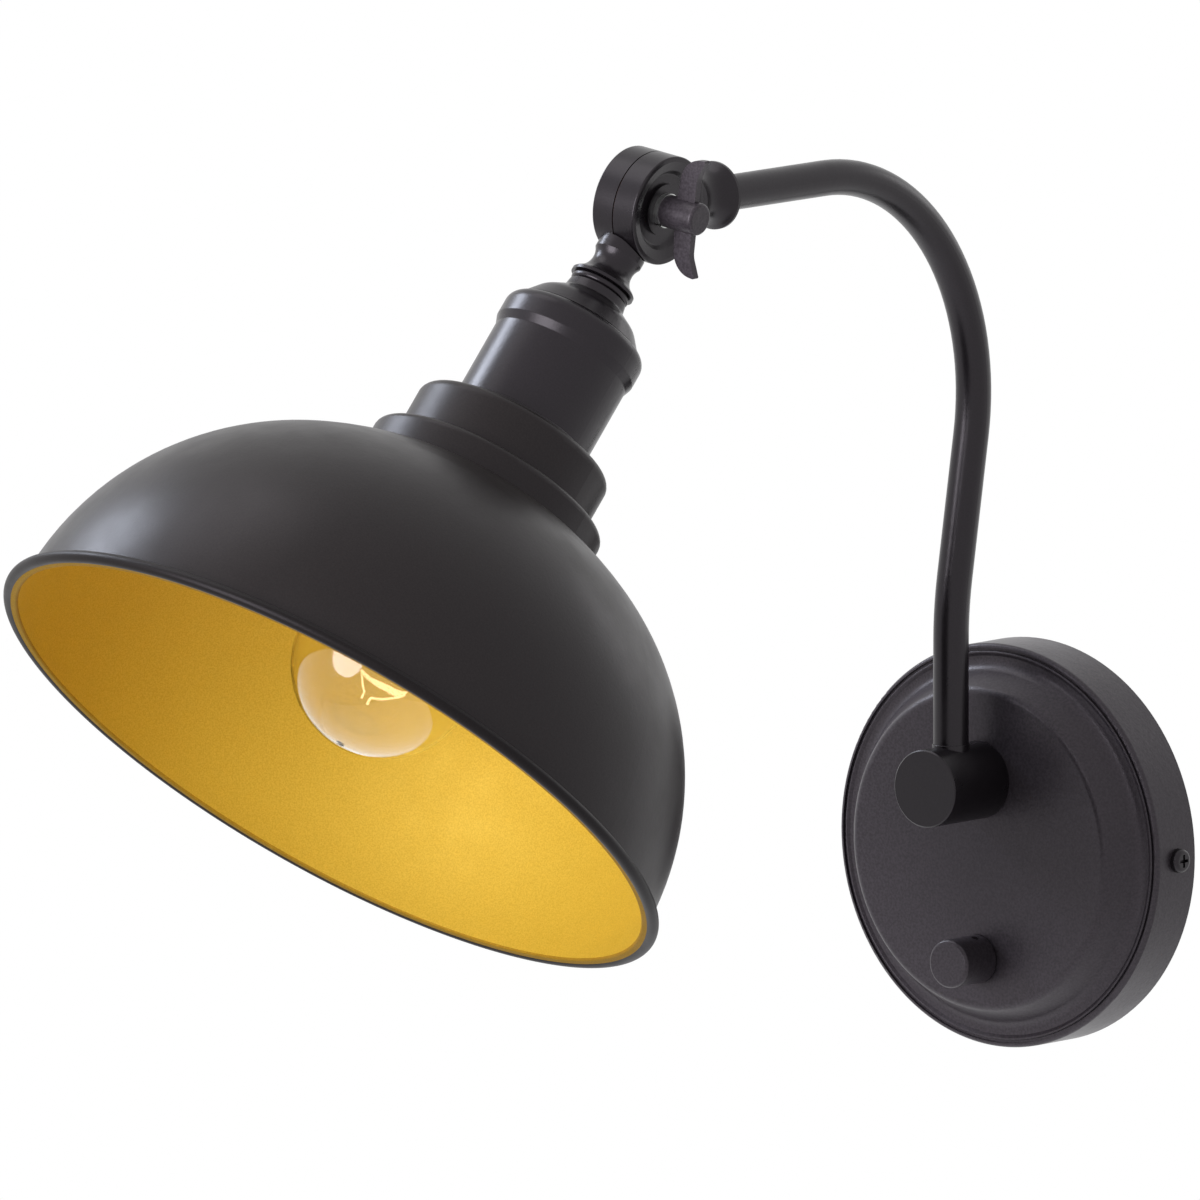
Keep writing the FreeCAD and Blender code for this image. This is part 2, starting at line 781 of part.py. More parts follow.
def arm_corners(start, end):
    """Corners of the arm's centre line between a start and an end on it."""
    rise = arm_height - knee_height
    lean = rise * math.tan(math.radians(arm_lean_deg))
    knee = Vector(0, -arm_stand_off, knee_height)
    shoulder = Vector(0, -arm_stand_off + lean, arm_height)
    return [start, knee, shoulder, end]


def arm_tube():
    """Round tube, bent once a little and once through a quarter turn."""
    seat = arm_root + UP * tube_seat_rise
    end = pivot + TO_WALL * (arm_flange_distance - socket_depth)
    corners = arm_corners(seat, end)
    outside = rod_along(corners, [knee_bend, arm_bend], tube_radius)
    inside = rod_along(corners, [knee_bend, arm_bend], tube_bore)
    return outside.cut(inside)


def flex_tail(frame, from_distance):
    """Points of a cable that runs up a neck and aside into the swivel's chamber."""
    steps = [Vector(0, 0, -from_distance), Vector(0, 0, -flex_jog_start),
             Vector(-flex_offset, 0, -flex_jog_end), Vector(-flex_offset, 0, -flex_end)]
    return [frame.multVec(step) for step in steps]


def arm_cable():
    """Cable from the terminal block through boss, tube and swivel neck."""
    to_frame = WALL_FRAME.multVec
    start = to_frame(Vector(0, block_side(1), block_wire_depth))
    turn = to_frame(Vector(0, boss_height, block_wire_depth))
    tail = flex_tail(ARM_HALF_FRAME, arm_flange_distance)
    corners = arm_corners(arm_root, tail[0])
    points = [start, turn] + corners[:-1] + tail[1:]
    return rod_along(points, [flex_bend, flex_bend, knee_bend, arm_bend, flex_bend, flex_bend],
                     flex_radius)


def swivel_disc():
    """Round half of the swivel on the -X side of the seam, dished outside."""
    dish_face = swivel_half_thickness - swivel_dish_drop
    disc = turned(
        (bolt_radius + fit_gap, swivel_seam),
        (swivel_radius, swivel_seam),
        (swivel_radius, swivel_half_thickness, swivel_edge_round),
        (swivel_bevel_radius, swivel_half_thickness),
        (swivel_dish_radius, dish_face),
        (swivel_recess_radius, recess_floor, swivel_recess_round),
        (bolt_radius + fit_gap, recess_floor))
    return disc.rotated(ORIGIN, TO_WALL, -RIGHT_ANGLE)


def swivel_neck(flange_distance):
    """Collar, waist and flange down -Z, kept clear of the other half's disc."""
    root = (swivel_dish_radius + swivel_radius) / 2
    flare_end = flange_distance - flange_lip
    waist = collar_end + (flare_end - collar_end) * waist_share
    lip = flange_radius - flange_round
    edges = outline_edges([(0, -root), (collar_radius, -root), (collar_radius, -collar_end)])
    edges.append(arc_edge((collar_radius, -collar_end), (waist_radius, -waist), (lip, -flare_end)))
    edges += outline_edges([(lip, -flare_end), (flange_radius, -flare_end - flange_round),
                            (flange_radius, -flange_distance), (0, -flange_distance), (0, -root)])
    neck = spin(Part.Face(Part.Wire(edges)))
    other_disc = Part.makeCylinder(swivel_radius + loose_gap, 2 * swivel_half_thickness,
                                   Vector(-swivel_seam, 0, 0), ACROSS)
    return neck.cut(other_disc)


def swivel_half(flange_distance, socket_radius):
    """Disc and neck in one casting, with a wire chamber, a slot and a socket in the flange."""
    body = swivel_disc().fuse(swivel_neck(flange_distance)).removeSplitter()
    chamber = ring(swivel_pocket_radius, swivel_pocket_hub, swivel_seam, swivel_pocket_depth)
    chamber = chamber.rotated(ORIGIN, TO_WALL, -RIGHT_ANGLE)
    slot_depth = flex_offset + flex_radius + fit_gap
    slot = block(Vector(-slot_depth, -swivel_slot_width / 2, -flex_jog_start),
                 Vector(neck_bore, swivel_slot_width / 2, -(swivel_pocket_hub + swivel_pocket_radius) / 2))
    bore = cylinder(neck_bore, -flange_distance, -flex_jog_start)
    socket = cylinder(socket_radius + fit_gap, -flange_distance, -flange_distance + socket_depth)
    return body.cut(chamber).cut(slot).cut(bore).cut(socket)


def arm_swivel():
    """Swivel half on the end of the arm."""
    return in_frame(ARM_HALF_FRAME, swivel_half(arm_flange_distance, tube_radius))


def square_shank():
    """Square part of the swivel bolt, grown by the clearance of its hole."""
    half = bolt_square / 2
    low = -recess_floor
    return block(Vector(low, -half, -half), Vector(low + bolt_square_length, half, half))


def head_swivel():
    """Swivel half on the head, with a square hole that keeps the bolt from turning."""
    half = swivel_half(head_flange_distance, thread_radius)
    reach = bolt_square / 2 + fit_gap
    hole = block(Vector(-recess_floor, -reach, -reach), Vector(0, reach, reach))
    return in_frame(HEAD_PIVOT_FRAME, half.cut(hole))


def friction_ring():
    """Fibre ring in the seam of the swivel."""
    body = ring(friction_ring_outer, friction_ring_inner, -swivel_seam, swivel_seam - fit_gap)
    return in_frame(BOLT_FRAME, body)


def swivel_bolt():
    """Round-headed bolt with a square shank, through both halves."""
    low = -recess_floor
    head = turned((0, low), (bolt_head_radius, low), (bolt_head_radius, low - bolt_head_height,
                  bolt_head_round), (0, low - bolt_head_height))
    shaft = turned((0, low), (bolt_radius, low), (bolt_radius, bolt_end - bolt_end_chamfer),
                   (bolt_radius - bolt_end_chamfer, bolt_end), (0, bolt_end))
    bolt = head.fuse(shaft)
    square = square_shank().rotated(ORIGIN, TO_WALL, -RIGHT_ANGLE)
    return in_frame(BOLT_FRAME, bolt.fuse(square).removeSplitter())


def clamp_washer():
    """Flat washer in the recess of the arm's half."""
    bore = bolt_radius + washer_bore_gap
    top = recess_floor + clamp_washer_wall
    return in_frame(BOLT_FRAME, ring(clamp_washer_radius, bore, recess_floor, top))


def spring_washer():
    """Split washer under the wing nut."""
    low = recess_floor + clamp_washer_wall
    body = ring(spring_washer_radius, bolt_radius + washer_bore_gap, low, hub_base)
    split = block(Vector(0, -spring_washer_split / 2, low),
                  Vector(spring_washer_radius + overrun, spring_washer_split / 2, hub_base))
    return in_frame(BOLT_FRAME, body.cut(split))


def wing():
    """One wing: a plate whose inner edge sweeps out to a tip that stands beyond the hub."""
    outline = outline_edges([
        (wing_root, wing_near_edge),
        (wing_crown_reach, wing_near_edge + wing_thickness / 2, wing_crown_round),
        (wing_reach, wing_tip_edge, wing_tip_round),
        (wing_hollow_reach, wing_far_edge, wing_hollow_round),
        (wing_root, wing_far_edge),
        (wing_root, wing_near_edge)])
    plate = Part.Face(Part.Wire(outline)).extrude(TO_WALL * wing_thickness)
    return at(TO_WALL * (-wing_thickness / 2), plate)


def wing_nut():
    """Closed hub with two opposite wings."""
    hub = turned((0, hub_base), (hub_radius, hub_base), (hub_radius, hub_end, hub_round),
                 (0, hub_end))
    body = hub.fuse([wing(), wing().rotated(ORIGIN, UP, HALF_TURN)]).removeSplitter()
    body = body.cut(cylinder(bolt_radius + fit_gap, hub_base, hub_bore_end))
    upright = Placement(ORIGIN, Rotation(UP, wing_turn_deg()))
    return in_frame(BOLT_FRAME.multiply(upright), body)


def wing_turn_deg():
    """Turn of the wings on the bolt that stands them upright beside the arm."""
    return RIGHT_ANGLE - head_elevation_deg - wing_lean_deg


def neck_ring():
    """Small rounded ring between the cap and the swivel's flange."""
    top = cap_top + neck_ring_height
    body = turned((thread_radius + fit_gap, cap_top), (neck_ring_radius, cap_top, neck_ring_round),
                  (neck_ring_radius, top, neck_ring_round), (thread_radius + fit_gap, top))
    return in_frame(HEAD_FRAME, body)


def cup_cap():
    """Domed cap that closes the top of the cup."""
    shoulder = cup_top + cap_shoulder_rise
    neck = cup_top + cap_neck_rise
    ceiling = cap_top - cap_wall
    inner_neck = cap_neck_radius - cap_wall
    body = turned(
        (cap_radius, cup_top),
        (cap_shoulder_radius, shoulder, cap_shoulder_round),
        (cap_neck_radius, neck, cap_neck_round),
        (cap_neck_radius - cap_wall / 2, cap_top, cap_wall / 2),
        (thread_radius + fit_gap, cap_top),
        (thread_radius + fit_gap, ceiling),
        (inner_neck, ceiling),
        (inner_neck, neck - cap_wall),
        (cap_shoulder_radius - cap_wall, shoulder - cap_wall, cap_shoulder_round - cap_wall),
        (cap_radius - cap_wall, cup_top))
    return in_frame(HEAD_FRAME, body)


def holder_cup():
    """Spun cup over the lamp holder: rolled foot, straight body and bulged shoulder."""
    bore = cup_radius - cup_wall
    body = turned(
        (bore, cup_foot),
        (cup_foot_radius, cup_foot, cup_foot_round),
        (cup_foot_radius, cup_foot + cup_foot_height / 2, cup_foot_round / 2),
        (cup_radius + cup_wall, cup_foot + cup_foot_height / 2),
        (cup_radius + cup_wall, cup_foot + cup_foot_height, cup_wall / 2),
        (cup_radius, cup_foot + cup_foot_height),
        (cup_radius, cup_body_top, cup_wall),
        (cup_bulge_radius, cup_bulge_start, cup_wall),
        (cup_bulge_radius, cup_top, cup_bulge_round),
        (cup_top_bore, cup_top),
        (cup_top_bore, cup_top - cup_wall),
        (cup_bulge_radius - cup_wall, cup_top - cup_wall, cup_bulge_round - cup_wall),
        (cup_bulge_radius - cup_wall, cup_bulge_start, cup_wall),
        (bore, cup_body_top, cup_wall))
    return in_frame(HEAD_FRAME, body)


def holder_boss_top():
    """Height of the end of the holder's boss over the holder's mouth."""
    return holder_length + holder_boss_height


def neck_nipple():
    """Hollow threaded pipe from the lamp holder to the swivel."""
    low = holder_mouth + holder_boss_top() - holder_boss_radius
    high = head_length - head_flange_distance + socket_depth
    return in_frame(HEAD_FRAME, ring(thread_radius, thread_bore, low, high))


def neck_nut():
    """Nut on the nipple that draws the cap against the swivel."""
    high = cap_top - cap_wall
    nut = hexagon(nut_across_flats, high - neck_nut_height, high)
    nut = nut.cut(cylinder(thread_radius + fit_gap, high - neck_nut_height, high))
    return in_frame(HEAD_FRAME, nut)


def lamp_holder():
    """Insulating holder: open socket below, threaded waist for the shade ring, boss above."""
    top = holder_boss_top()
    body = turned(
        (holder_socket_radius, 0),
        (holder_radius, 0, holder_mouth_round),
        (holder_radius, holder_length, holder_top_round),
        (holder_boss_radius, holder_length),
        (holder_boss_radius, top),
        (0, top),
        (0, holder_floor),
        (holder_socket_radius, holder_floor))
    socket = cylinder(thread_radius + fit_gap, top - holder_boss_radius, top)
    wire_way = cylinder(thread_bore, holder_wire_floor, top)
    return in_frame(HOLDER_FRAME, body.cut(socket).cut(wire_way))


def screw_shell():
    """Threaded metal sleeve inside the lamp holder."""
    outer = holder_socket_radius - fit_gap
    return in_frame(HOLDER_FRAME, ring(outer, outer - shell_wall, shell_start, holder_floor))


def centre_contact():
    """Sprung leaf that meets the bulb's centre contact."""
    half_length, half_width = contact_leaf_length / 2, contact_leaf_width / 2
    foot = block(Vector(-half_length, -half_width, holder_floor - contact_leaf_wall),
                 Vector(half_length, half_width, holder_floor))
    tongue = block(
        Vector(-contact_tongue_length / 2, -half_width, holder_floor - contact_leaf_drop),
        Vector(contact_tongue_length / 2, half_width, holder_floor))
    return in_frame(HOLDER_FRAME, foot.fuse(tongue).removeSplitter())


def shade_ring():
    """Threaded ring with finger notches that clamps the shade to the holder."""
    high = shade_shoulder_top - shade_wall
    low = high - shade_ring_height
    body = ring(shade_ring_radius, holder_radius + fit_gap, low, high)
    for step in range(shade_ring_notches):
        notch = at(ACROSS * shade_ring_radius, cylinder(shade_ring_notch, low, high))
        body = body.cut(notch.rotated(ORIGIN, UP, FULL_TURN / shade_ring_notches * step))
    return in_frame(HEAD_FRAME, body)


def shade():
    """Dome with a rolled rim, a stepped neck and a hole for the holder."""
    lip = rim_lip_lift + shade_wall
    side_start = math.asin((lip - side_arc_height) / side_arc_radius)
    lip_inner = side_arc_centre + side_arc_radius * math.cos(side_start)
    bead_centre = shade_radius + rim_bead_overhang
    edges = outline_edges([(bead_centre, lip), (lip_inner, lip)])
    edges.append(turned_arc(side_arc_centre, side_arc_height, side_arc_radius,
                            side_start, crown_start))
    edges.append(turned_arc(0, crown_arc_height, crown_arc_radius, crown_start, crown_end))
    edges += outline_edges([
        (shade_step_radius, shade_step_foot),
        (shade_step_radius, shade_step_top, shade_step_round),
        (shade_shoulder_radius, shade_step_top),
        (shade_shoulder_radius, shade_shoulder_top, shade_shoulder_round),
        (holder_radius + loose_gap, shade_shoulder_top)])
    sheet = spun_sheet(edges, shade_wall)
    bead = Part.makeTorus(bead_centre, rim_bead_radius, UP * rim_bead_radius, UP)
    return in_frame(HEAD_FRAME, sheet.fuse(bead).removeSplitter())


def head_cable():
    """Cable from the lamp holder up the neck into the swivel's chamber."""
    start = HOLDER_FRAME.multVec(Vector(0, 0, holder_wire_floor))
    tail = flex_tail(HEAD_PIVOT_FRAME, head_flange_distance)
    return rod_along([start] + tail[1:], [flex_bend, flex_bend], flex_radius)


def bulb_glass():
    """Clear pear-shaped envelope, open at the throat."""
    rise = bulb_flare_height - bulb_radius
    edge = math.sqrt(bulb_radius ** 2 - rise ** 2)
    slope = (math.atan2(rise, edge) - math.pi / 2) / 2
    belly = (bulb_radius * math.cos(slope), bulb_radius + bulb_radius * math.sin(slope))
    edges = [arc_edge((0, 0), belly, (edge, bulb_flare_height))]
    neck_middle = ((edge + bulb_neck_radius) / 2 - bulb_glass_wall,
                   (bulb_flare_height + bulb_neck_height) / 2)
    edges.append(arc_edge((edge, bulb_flare_height), neck_middle,
                          (bulb_neck_radius, bulb_neck_height)))
    edges += outline_edges([(bulb_neck_radius, bulb_neck_height),
                            (bulb_throat_radius, bulb_cap_start - overrun),
                            (bulb_throat_radius, bulb_throat_height)])
    return in_frame(BULB_FRAME, spun_sheet(edges, bulb_glass_wall))


def bulb_cap():
    """Screw cap of the bulb with rounded thread turns and a tapered end."""
    corners = [(bulb_throat_radius + fit_gap, bulb_cap_start), (bulb_cap_radius, bulb_cap_start)]
    first = bulb_cap_shoulder - bulb_thread_pitch * bulb_thread_turns
    for turn in range(bulb_thread_turns):
        low = first + turn * bulb_thread_pitch
        corners.append((bulb_cap_radius - bulb_thread_depth, low, bulb_thread_depth))
        corners.append((bulb_cap_radius, low + bulb_thread_pitch / 2, bulb_thread_depth))
    inner = bulb_throat_radius - bulb_cap_wall
    corners += [
        (bulb_cap_radius - bulb_thread_depth, bulb_cap_shoulder, bulb_thread_depth),
        (bulb_insulator_radius, bulb_cap_end),
        (bulb_insulator_radius - bulb_cap_wall, bulb_cap_end - bulb_cap_wall),
        (inner - bulb_cap_wall, bulb_cap_shoulder - bulb_cap_wall),
        (inner - bulb_cap_wall, bulb_throat_height),
        (bulb_throat_radius + fit_gap, bulb_throat_height)]
    return in_frame(BULB_FRAME, turned(*corners))


def bulb_insulator():
    """Dark glass button between the cap and the centre contact."""
    body = turned((0, bulb_cap_end), (bulb_insulator_radius - fit_gap, bulb_cap_end),
                  (bulb_contact_radius, bulb_insulator_end), (0, bulb_insulator_end))
    return in_frame(BULB_FRAME, body)


def bulb_contact():
    """Solder contact at the end of the bulb."""
    body = turned((0, bulb_insulator_end), (bulb_contact_radius, bulb_insulator_end),
                  (bulb_contact_radius, bulb_length, lead_radius), (0, bulb_length))
    return in_frame(BULB_FRAME, body)


def bulb_stem():
    """Glass stem that carries the filament's leads."""
    foot_radius = bulb_throat_radius - bulb_glass_wall
    body = turned((0, stem_top), (stem_radius, stem_top, stem_radius / 2),
                  (stem_radius, bulb_neck_height, stem_flare_radius),
                  (stem_flare_radius, bulb_cap_start), (foot_radius, bulb_cap_start + overrun),
                  (foot_radius, bulb_throat_height), (0, bulb_throat_height))
    return in_frame(BULB_FRAME, body)


def bulb_filament():
    """Two leads that rise from the stem and the bright wire between them."""
    root = stem_radius - lead_radius * 2
    parts = []
    for side in (-1, 1):
        points = [Vector(side * root, 0, stem_top), Vector(side * root, 0, stem_top - lead_spread / 2),
                  Vector(side * lead_spread, 0, filament_height)]
        parts.append(rod_along(points, [lead_bend], lead_radius))
    coil = Part.makeCylinder(filament_radius, 2 * lead_spread,
                             Vector(-lead_spread, 0, filament_height), ACROSS)
    return in_frame(BULB_FRAME, coil.fuse(parts).removeSplitter())


PIECES = [
    canopy, wall_bracket, canopy_screws, terminal_block, terminal_screws, block_fixing_screw,
    earth_screw, earth_tag, earth_wire, switch_wires, switch_body, switch_nut, boss_nipple,
    boss_washer, boss_nut, arm_boss, arm_tube, arm_swivel, arm_cable,
    switch_shaft, knob, knob_grub_screw,
    head_swivel, friction_ring, swivel_bolt, neck_ring, cup_cap, holder_cup, neck_nipple,
    neck_nut, lamp_holder, screw_shell, centre_contact, shade_ring, shade, head_cable,
    bulb_glass, bulb_cap, bulb_insulator, bulb_contact, bulb_stem, bulb_filament,
    clamp_washer, spring_washer, wing_nut,
]


def main():
    os.makedirs("parts", exist_ok=True)
    for piece in PIECES:
        shape = piece()
        shape.exportStep(f"parts/{piece.__name__}.step")
        print(piece.__name__, len(shape.Solids), shape.isValid(), round(shape.Volume, 1))


main()
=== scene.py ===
import math

import bpy
from mathutils import Matrix, Vector


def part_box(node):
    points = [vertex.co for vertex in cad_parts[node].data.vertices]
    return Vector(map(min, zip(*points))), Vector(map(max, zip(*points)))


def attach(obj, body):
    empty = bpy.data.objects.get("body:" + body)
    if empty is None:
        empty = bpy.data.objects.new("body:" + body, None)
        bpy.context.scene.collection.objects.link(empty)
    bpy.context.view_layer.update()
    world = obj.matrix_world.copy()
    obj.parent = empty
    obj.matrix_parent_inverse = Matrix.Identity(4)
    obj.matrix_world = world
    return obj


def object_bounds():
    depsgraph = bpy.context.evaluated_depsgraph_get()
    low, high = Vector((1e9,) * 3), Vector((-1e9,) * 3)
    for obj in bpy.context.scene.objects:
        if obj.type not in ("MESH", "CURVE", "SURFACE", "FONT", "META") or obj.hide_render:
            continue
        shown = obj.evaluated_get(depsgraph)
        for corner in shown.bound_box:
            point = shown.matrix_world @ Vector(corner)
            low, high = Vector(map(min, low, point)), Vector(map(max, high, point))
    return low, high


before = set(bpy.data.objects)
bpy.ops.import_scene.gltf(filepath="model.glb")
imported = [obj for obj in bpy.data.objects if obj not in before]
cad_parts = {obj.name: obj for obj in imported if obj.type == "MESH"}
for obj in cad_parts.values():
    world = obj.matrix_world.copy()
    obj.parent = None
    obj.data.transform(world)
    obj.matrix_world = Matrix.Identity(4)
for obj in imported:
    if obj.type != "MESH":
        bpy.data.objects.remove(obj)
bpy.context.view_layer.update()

# Metres, in the frame of the lamp: the wall is the plane Y = 0, the lamp stands out towards -Y.
PHOTO_SIDE_PX = 1200
ORIGIN_PX = (1035.3, 838.9)
PX_PER_METRE = 3389.0
VIEW_AZIMUTH_DEG = 39.31
VIEW_ELEVATION_DEG = 7.89
VIEW_DISTANCE = 10.0
SENSOR_WIDTH_MM = 36.0

# The lamp hangs at head height over a small pale floor.
FLOOR_DROP = 1.2
STAGE_HALF_SIDE = 1.8
PALE = (0.86, 0.86, 0.86, 1.0)
WHITE = (1.0, 1.0, 1.0, 1.0)
AMBIENT_SHARE = 0.15

# Bright gold covers the inner wall, and a darker, duller gold the flange, as far as the rolled
# rim, as painted shade.
INNER_WALL_RADIUS = 0.1035
FLANGE_RADIUS = 0.1042
FLANGE_HEIGHT = 0.001

# An even ring covers the rolled rim by a hair, with its middle at this radius and height.
ROLL_RING_RADIUS = 0.1054
ROLL_HEIGHT = 0.0018
ROLL_TUBE_RADIUS = 0.00184
ROLL_STEPS_ROUND = 512
ROLL_STEPS_ACROSS = 48

COOL = (0.97, 0.97, 1.0)
BLUE = (0.80, 0.88, 1.0)
GLOW = (1.0, 0.50, 0.16)
BLACK_PLASTIC = ((0.012, 0.012, 0.012), (0.02, 0.02, 0.02))

# The range that noise keeps to in most places.
NOISE_LOW = 0.3
NOISE_HIGH = 0.7

# Lengths of surface marks are in millimetres times this.
MM = 0.001


def socket_values(shader, **values):
    """Sets sockets of a shader by name, with spaces written as underscores."""
    for name, value in values.items():
        shader.inputs[name.replace("_", " ")].default_value = value


def surface(name, **values):
    """A new material with its tree and its main shader."""
    material = bpy.data.materials.new(name)
    material.use_nodes = True
    tree = material.node_tree
    shader = tree.nodes["Principled BSDF"]
    socket_values(shader, **values)
    return material, tree, shader


def node(tree, kind, **settings):
    """A new node with its settings."""
    made = tree.nodes.new(kind)
    for name, value in settings.items():
        setattr(made, name, value)
    return made


def place_of_surface(tree):
    """Coordinates that stay on the piece, in metres."""
    return node(tree, "ShaderNodeTexCoord").outputs["Object"]


def noise(tree, place, grain, detail=3.0):
    """Noise whose features are about as large as the grain, in metres."""
    made = node(tree, "ShaderNodeTexNoise")
    socket_values(made, Scale=1 / grain, Detail=detail, Roughness=0.55)
    tree.links.new(place, made.inputs["Vector"])
    return made.outputs["Fac"]


def spread(tree, source, low, high):
    """The usual range of noise mapped to the range from low to high."""
    made = node(tree, "ShaderNodeMapRange")
    socket_values(made, From_Min=NOISE_LOW, From_Max=NOISE_HIGH, To_Min=low, To_Max=high)
    tree.links.new(source, made.inputs["Value"])
    return made.outputs["Result"]


def two_tones(tree, source, first, second, low=0.35, high=0.65):
    """A colour between two tones, by the source."""
    made = node(tree, "ShaderNodeValToRGB")
    made.color_ramp.elements[0].position = low
    made.color_ramp.elements[0].color = (*first, 1)
    made.color_ramp.elements[1].position = high
    made.color_ramp.elements[1].color = (*second, 1)
    tree.links.new(source, made.inputs["Fac"])
    return made.outputs["Color"]


def relief(tree, shader, source, height, under=None):
    """Bump of the given height in metres, on top of an earlier one."""
    made = node(tree, "ShaderNodeBump")
    socket_values(made, Strength=1.0, Distance=height)
    tree.links.new(source, made.inputs["Height"])
    if under:
        tree.links.new(under, made.inputs["Normal"])
    tree.links.new(made.outputs["Normal"], shader.inputs["Normal"])
    return made.outputs["Normal"]


def powder_coat(name, tones, roughness, level, grain=0.50 * MM, height=0.010 * MM):
    """Powder coating: orange-peel relief, fine grain of tone, and a slow drift of gloss."""
    material, tree, shader = surface(name, Metallic=0.0, IOR=1.28, Specular_IOR_Level=level,
                                     Specular_Tint=(1.0, 0.92, 1.0, 1.0))
    place = place_of_surface(tree)
    fine = noise(tree, place, grain, 2.0)
    tree.links.new(two_tones(tree, fine, *tones), shader.inputs["Base Color"])
    drift = noise(tree, place, 14 * MM, 2.0)
    tree.links.new(spread(tree, drift, *roughness), shader.inputs["Roughness"])
    peel = noise(tree, place, grain * 3, 1.0)
    under = relief(tree, shader, peel, height * 2)
    relief(tree, shader, fine, height, under=under)
    return material


def gold_paint(name, tones, level):
    """Satin gold paint with fine metal flakes."""
    material, tree, shader = surface(name, Metallic=0.2, IOR=1.3, Specular_IOR_Level=level)
    place = place_of_surface(tree)
    flakes = noise(tree, place, 0.45 * MM, 2.0)
    tree.links.new(two_tones(tree, flakes, *tones), shader.inputs["Base Color"])
    drift = noise(tree, place, 9 * MM, 2.0)
    tree.links.new(spread(tree, drift, 0.57, 0.64), shader.inputs["Roughness"])
    relief(tree, shader, flakes, 0.02 * MM)
    return material


def plated_metal(name, tones, roughness):
    """Bright metal with a slow drift of tone and fine turning or drawing marks."""
    material, tree, shader = surface(name, Metallic=1.0)
    place = place_of_surface(tree)
    drift = noise(tree, place, 6 * MM)
    tree.links.new(two_tones(tree, drift, *tones), shader.inputs["Base Color"])
    marks = noise(tree, place, 0.35 * MM, 2.0)
    tree.links.new(spread(tree, marks, roughness - 0.06, roughness + 0.08),
                   shader.inputs["Roughness"])
    relief(tree, shader, marks, 0.012 * MM)
    return material


def moulded(name, tones, roughness):
    """Moulded plastic, rubber or fibre with a fine surface grain."""
    material, tree, shader = surface(name, Specular_IOR_Level=0.4)
    place = place_of_surface(tree)
    drift = noise(tree, place, 9 * MM, 2.0)
    tree.links.new(two_tones(tree, drift, *tones), shader.inputs["Base Color"])
    fine = noise(tree, place, 0.4 * MM, 2.0)
    tree.links.new(spread(tree, fine, roughness - 0.05, roughness + 0.07),
                   shader.inputs["Roughness"])
    relief(tree, shader, fine, 0.015 * MM)
    return material


def striped_sheath(name, tones, pitch):
    """Two-coloured insulation, in stripes that run round the wire."""
    material, tree, shader = surface(name, Roughness=0.45, Specular_IOR_Level=0.4)
    place = place_of_surface(tree)
    wave = node(tree, "ShaderNodeTexWave", bands_direction="DIAGONAL")
    socket_values(wave, Scale=1 / pitch)
    tree.links.new(place, wave.inputs["Vector"])
    tree.links.new(two_tones(tree, wave.outputs["Fac"], *tones, low=0.48, high=0.52),
                   shader.inputs["Base Color"])
    relief(tree, shader, noise(tree, place, 0.3 * MM), 0.01 * MM)
    return material


def clear_glass(name, tint, waviness):
    """Clear glass with the faint waves of blown glass, which light passes straight through."""
    material, tree, shader = surface(
        name, Base_Color=(*tint, 1), Roughness=0.0, IOR=1.42, Transmission_Weight=1.0)
    place = place_of_surface(tree)
    relief(tree, shader, noise(tree, place, 12 * MM, 1.0), waviness)
    path = node(tree, "ShaderNodeLightPath")
    through = node(tree, "ShaderNodeBsdfTransparent")
    either = node(tree, "ShaderNodeMixShader")
    tree.links.new(path.outputs["Is Shadow Ray"], either.inputs["Fac"])
    tree.links.new(shader.outputs["BSDF"], either.inputs[1])
    tree.links.new(through.outputs["BSDF"], either.inputs[2])
    tree.links.new(either.outputs["Shader"], tree.nodes["Material Output"].inputs["Surface"])
    return material


def filament_wire(name, strength):
    """Drawn wire that glows."""
    material, tree, shader = surface(
        name, Base_Color=(0.35, 0.33, 0.30, 1), Metallic=1.0, Roughness=0.4,
        Emission_Color=(1.0, 0.78, 0.45, 1), Emission_Strength=strength)
    place = place_of_surface(tree)
    relief(tree, shader, noise(tree, place, 0.2 * MM), 0.02 * MM)
    return material


COATED = ["canopy_screws", "arm_boss", "arm_tube", "arm_swivel", "head_swivel", "neck_ring",
          "cup_cap", "holder_cup", "clamp_washer", "knob_grub_screw"]
# The canopy and knob have a paler, coarser coat of their own; the wing nut and swivel bolt get it
# too, as painted sheen.
PALE_COAT_AND_PAINTED_SHEEN = ["canopy", "knob", "wing_nut", "swivel_bolt"]
ZINC = ["wall_bracket", "boss_washer", "boss_nut", "boss_nipple", "neck_nipple", "neck_nut",
        "switch_nut", "earth_screw", "earth_tag", "switch_shaft", "spring_washer"]
BRASS = ["terminal_screws", "block_fixing_screw", "screw_shell", "centre_contact"]


def dress(names, material):
    """Gives every named node one material."""
    for name in names:
        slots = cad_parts[name].data.materials
        slots.clear()
        slots.append(material)


def centre_of(name):
    """Middle of a node's box."""
    low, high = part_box(name)
    return (low + high) / 2


def rim_and_axis():
    """Rim centre of the shade and the head's axis, from two round pieces that lie on it."""
    ring, shell = centre_of("neck_ring"), centre_of("screw_shell")
    axis = (ring - shell).normalized()
    heights = [(vertex.co - shell).dot(axis)
               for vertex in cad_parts["shade"].data.vertices]
    return shell + axis * min(heights), axis


def dress_shade(outside, inside, flange_shade_paint):
    """Three paints: on the outer faces and rolled rim, on the inner wall, and a darker one with
    painted shade on the flange.
    """
    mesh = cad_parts["shade"].data
    mesh.materials.clear()
    for material in (outside, inside, flange_shade_paint):
        mesh.materials.append(material)
    rim, axis = rim_and_axis()
    for polygon in mesh.polygons:
        out = polygon.center - rim
        height = out.dot(axis)
        radius = (out - axis * height).length
        if height < FLANGE_HEIGHT and radius < FLANGE_RADIUS:
            polygon.material_index = 2
        elif polygon.normal.dot(out) < 0 and radius < INNER_WALL_RADIUS:
            polygon.material_index = 1


